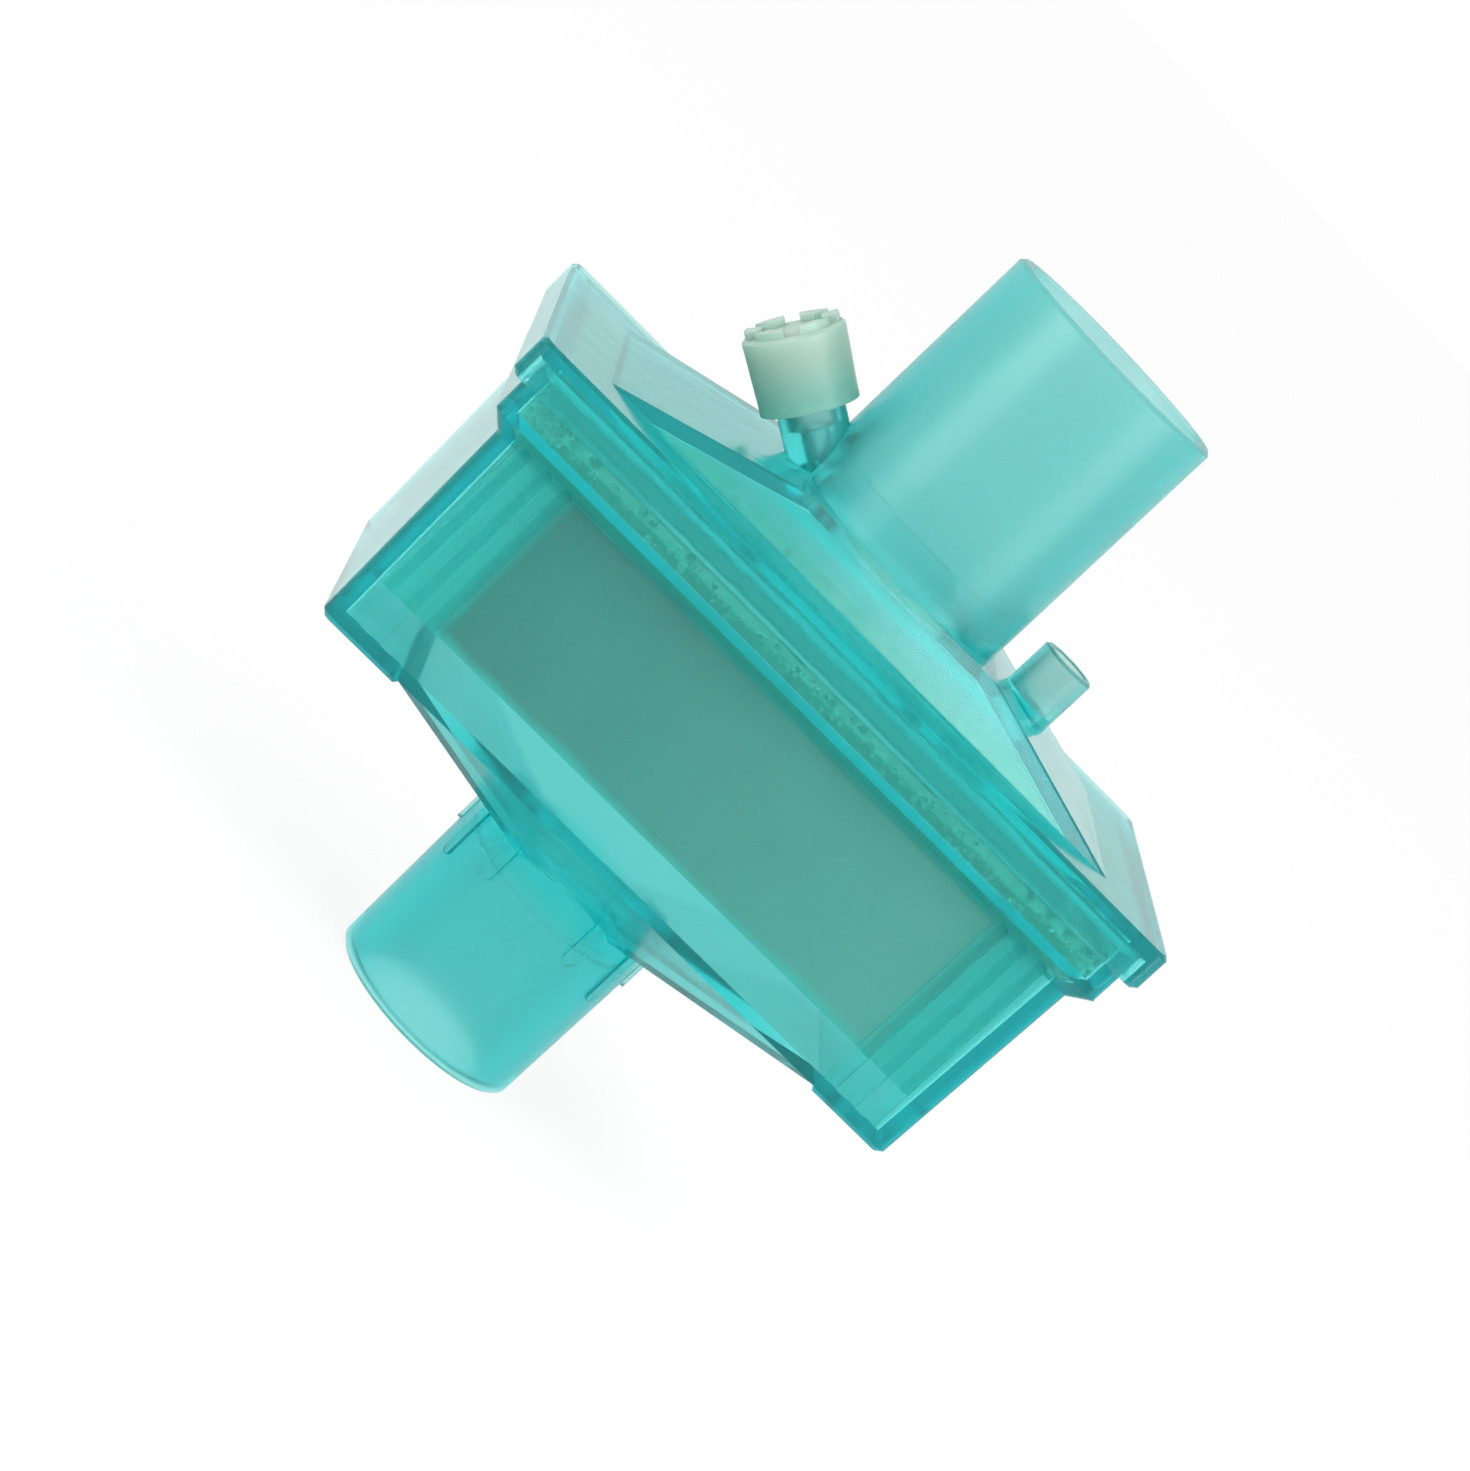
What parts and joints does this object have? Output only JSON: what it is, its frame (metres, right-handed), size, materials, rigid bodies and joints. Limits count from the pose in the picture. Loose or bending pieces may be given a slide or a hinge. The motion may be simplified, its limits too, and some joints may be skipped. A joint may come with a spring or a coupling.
{
  "type": "breathing circuit filter",
  "caption": "Box-shaped see-through teal breathing circuit filter with a pleated paper pack, conical ports at both ends and a capped luer sampling port.",
  "frame": {"origin": "centre of the lower port's open rim", "axes": "+Z along both ports towards the upper port, +X towards the parking post, -Y the side seen in the picture"},
  "size_m": [0.0804, 0.047, 0.0926],
  "materials": {
    "tinted_plastic": "gloss",
    "filter_paper": "matte",
    "adhesive": "gloss",
    "milky_plastic": "satin"
  },
  "bodies": {
    "housing": {"lower_housing": "tinted_plastic", "upper_housing": "tinted_plastic", "filter_media": "filter_paper", "sealing_bead": "adhesive"},
    "cap": {"luer_cap": "milky_plastic"}
  },
  "joints": [
    {"name": "cap_lift", "type": "slide", "parent": "housing", "child": "cap", "axis": [-0.8499, 0, 0.527], "range_m": [0, 0.009]}
  ]
}
